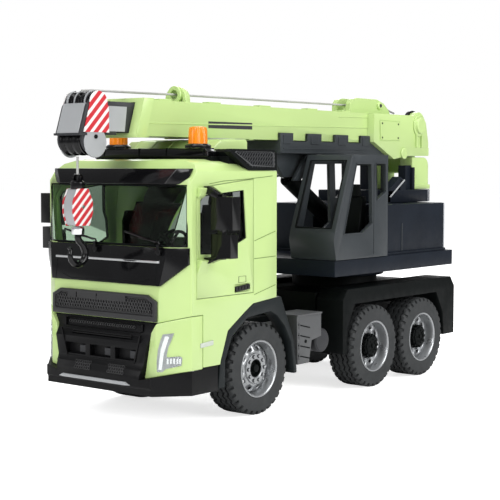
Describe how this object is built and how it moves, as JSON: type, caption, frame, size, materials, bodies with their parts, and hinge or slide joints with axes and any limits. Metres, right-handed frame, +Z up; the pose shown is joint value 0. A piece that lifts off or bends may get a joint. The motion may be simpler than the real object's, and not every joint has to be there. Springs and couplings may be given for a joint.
{
  "type": "toy crane truck",
  "caption": "Three-axle toy lorry with a cab-over cab, slewing crane deck, raked boom with sliding inner section, winch rope and swivelling hook.",
  "frame": {"origin": "on the ground under the middle of the truck's outer box", "axes": "+Z up, the truck faces -Y, +X is the truck's left side"},
  "size_m": [0.168, 0.3819, 0.2138],
  "materials": {
    "lime_plastic": "glossy moulded, lime green",
    "gloss_black": "gloss black moulded",
    "matte_black": "satin black moulded",
    "slate_plastic": "fine-grained slate grey moulded",
    "dark_grey_plastic": "satin dark grey moulded",
    "mid_grey_plastic": "satin mid grey moulded",
    "silver_plastic": "silver-painted moulded wheels",
    "steel_shaft": "bright drawn steel",
    "tyre_rubber": "soft dark grey rubber with zigzag tread",
    "amber_lens": "fluted amber lens",
    "clear_screen": "clear moulded screen",
    "rope_cord": "laid cord"
  },
  "bodies": {
    "chassis": {"chassis_frame": "matte_black", "front_axle_beam": "matte_black", "rear_fender_left": "matte_black", "rear_fender_right": "matte_black", "step_box_left": "mid_grey_plastic", "step_box_right": "mid_grey_plastic", "cab_shell": "lime_plastic", "cab_interior": "matte_black", "windscreen": "clear_screen", "sun_visor": "gloss_black", "front_panel": "gloss_black", "grille": "dark_grey_plastic", "bumper": "gloss_black", "roof_fairing": "lime_plastic", "light_bar": "gloss_black", "headlight_left": "lime_plastic", "headlight_right": "lime_plastic", "wheel_arch_left": "dark_grey_plastic", "wheel_arch_right": "dark_grey_plastic", "intake_pod_left": "matte_black", "intake_pod_right": "matte_black", "beacon_left": "amber_lens", "beacon_right": "amber_lens"},
    "left_door": {"door_left": "lime_plastic", "mirror_left": "gloss_black"},
    "right_door": {"door_right": "lime_plastic", "mirror_right": "gloss_black"},
    "left_knuckle": {"knuckle_left": "matte_black"},
    "right_knuckle": {"knuckle_right": "matte_black"},
    "tie_rod": {"tie_rod": "steel_shaft"},
    "front_wheel_left": {"front_tyre_left": "tyre_rubber", "front_rim_left": "silver_plastic"},
    "front_wheel_right": {"front_tyre_right": "tyre_rubber", "front_rim_right": "silver_plastic"},
    "rear_wheels_1": {"rear_axle_1": "steel_shaft", "rear_tyre_1_left": "tyre_rubber", "rear_tyre_1_right": "tyre_rubber", "rear_rim_1_left": "silver_plastic", "rear_rim_1_right": "silver_plastic"},
    "rear_wheels_2": {"rear_axle_2": "steel_shaft", "rear_tyre_2_left": "tyre_rubber", "rear_tyre_2_right": "tyre_rubber", "rear_rim_2_left": "silver_plastic", "rear_rim_2_right": "silver_plastic"},
    "crane_turret": {"deck": "slate_plastic", "crane_cab": "slate_plastic", "engine_house": "slate_plastic", "counterweight": "slate_plastic", "boom_post": "lime_plastic"},
    "lift_cylinder": {"lift_barrel": "matte_black"},
    "lift_piston": {"lift_rod": "steel_shaft"},
    "boom": {"boom_base": "lime_plastic", "boom_cradle": "slate_plastic", "hoist_rope": "rope_cord"},
    "boom_extension": {"boom_inner": "dark_grey_plastic"},
    "head_sheave": {"head_sheaves": "gloss_black"},
    "winch": {"winch_drum": "gloss_black"},
    "hoist_line": {"hook_rope": "rope_cord"},
    "hook_block": {"hook_block": "mid_grey_plastic"},
    "hook": {"hook": "matte_black"}
  },
  "joints": [
    {"name": "left_door_hinge", "type": "hinge", "parent": "chassis", "child": "left_door", "pos_m": [0.062, -0.1454, 0.115], "axis": [0, 0, -1], "range_deg": [0, 60]},
    {"name": "right_door_hinge", "type": "hinge", "parent": "chassis", "child": "right_door", "pos_m": [-0.062, -0.1454, 0.115], "axis": [0, 0, 1], "range_deg": [0, 60]},
    {"name": "steer_left", "type": "hinge", "parent": "chassis", "child": "left_knuckle", "pos_m": [0.044, -0.0801, 0.03], "axis": [0, 0, 1], "range_deg": [-15, 15]},
    {"name": "steer_right", "type": "hinge", "parent": "chassis", "child": "right_knuckle", "pos_m": [-0.044, -0.0801, 0.03], "axis": [0, 0, 1], "range_deg": [-15, 15]},
    {"name": "tie_rod_slide", "type": "slide", "parent": "chassis", "child": "tie_rod", "axis": [1, 0, 0], "range_m": [-0.0024, 0.0024]},
    {"name": "front_left_spin", "type": "hinge", "parent": "left_knuckle", "child": "front_wheel_left", "pos_m": [0.049, -0.0801, 0.03], "axis": [1, 0, 0], "continuous": true},
    {"name": "front_right_spin", "type": "hinge", "parent": "right_knuckle", "child": "front_wheel_right", "pos_m": [-0.049, -0.0801, 0.03], "axis": [1, 0, 0], "continuous": true},
    {"name": "rear_axle_1_spin", "type": "hinge", "parent": "chassis", "child": "rear_wheels_1", "pos_m": [0, 0.0553, 0.03], "axis": [1, 0, 0], "continuous": true},
    {"name": "rear_axle_2_spin", "type": "hinge", "parent": "chassis", "child": "rear_wheels_2", "pos_m": [0, 0.1215, 0.03], "axis": [1, 0, 0], "continuous": true},
    {"name": "crane_slew", "type": "hinge", "parent": "chassis", "child": "crane_turret", "pos_m": [0, 0.0884, 0.083], "axis": [0, 0, 1], "continuous": true},
    {"name": "boom_luff", "type": "hinge", "parent": "crane_turret", "child": "boom", "pos_m": [0, 0.1839, 0.161], "axis": [-1, 0, 0], "range_deg": [0, 30]},
    {"name": "lift_barrel_tilt", "type": "hinge", "parent": "crane_turret", "child": "lift_cylinder", "pos_m": [0, 0.0849, 0.118], "axis": [-1, 0, 0], "range_deg": [0, 38.7]},
    {"name": "lift_rod_slide", "type": "slide", "parent": "lift_cylinder", "child": "lift_piston", "axis": [0, -0.8586, 0.5126], "range_m": [0, 0.0538]},
    {"name": "boom_extend", "type": "slide", "parent": "boom", "child": "boom_extension", "axis": [0, -1, 0], "range_m": [0, 0.12]},
    {"name": "winch_turn", "type": "hinge", "parent": "boom", "child": "winch", "pos_m": [0, 0.1744, 0.195], "axis": [1, 0, 0], "range_deg": [0, 540]},
    {"name": "head_sheave_spin", "type": "hinge", "parent": "boom_extension", "child": "head_sheave", "pos_m": [0, -0.1801, 0.175], "axis": [1, 0, 0], "continuous": true},
    {"name": "hook_line_swing", "type": "hinge", "parent": "boom_extension", "child": "hoist_line", "pos_m": [0, -0.1821, 0.166], "axis": [-1, 0, 0], "range_deg": [-30, 0]},
    {"name": "hook_lower", "type": "slide", "parent": "hoist_line", "child": "hook_block", "axis": [0, 0, -1], "range_m": [0, 0.083]},
    {"name": "hook_swivel", "type": "hinge", "parent": "hook_block", "child": "hook", "pos_m": [0, -0.1821, 0.125], "axis": [0, 0, 1], "continuous": true}
  ],
  "couplings": [
    {"joint": "steer_right", "follows": "steer_left", "ratio": 1},
    {"joint": "tie_rod_slide", "follows": "steer_left", "m_per_rad": -0.009},
    {"joint": "lift_barrel_tilt", "follows": "boom_luff", "ratio": 1.287},
    {"joint": "lift_rod_slide", "follows": "boom_luff", "m_per_rad": 0.10267},
    {"joint": "hook_line_swing", "follows": "boom_luff", "ratio": -1},
    {"joint": "hook_lower", "follows": "winch_turn", "m_per_rad": 0.0088}
  ]
}
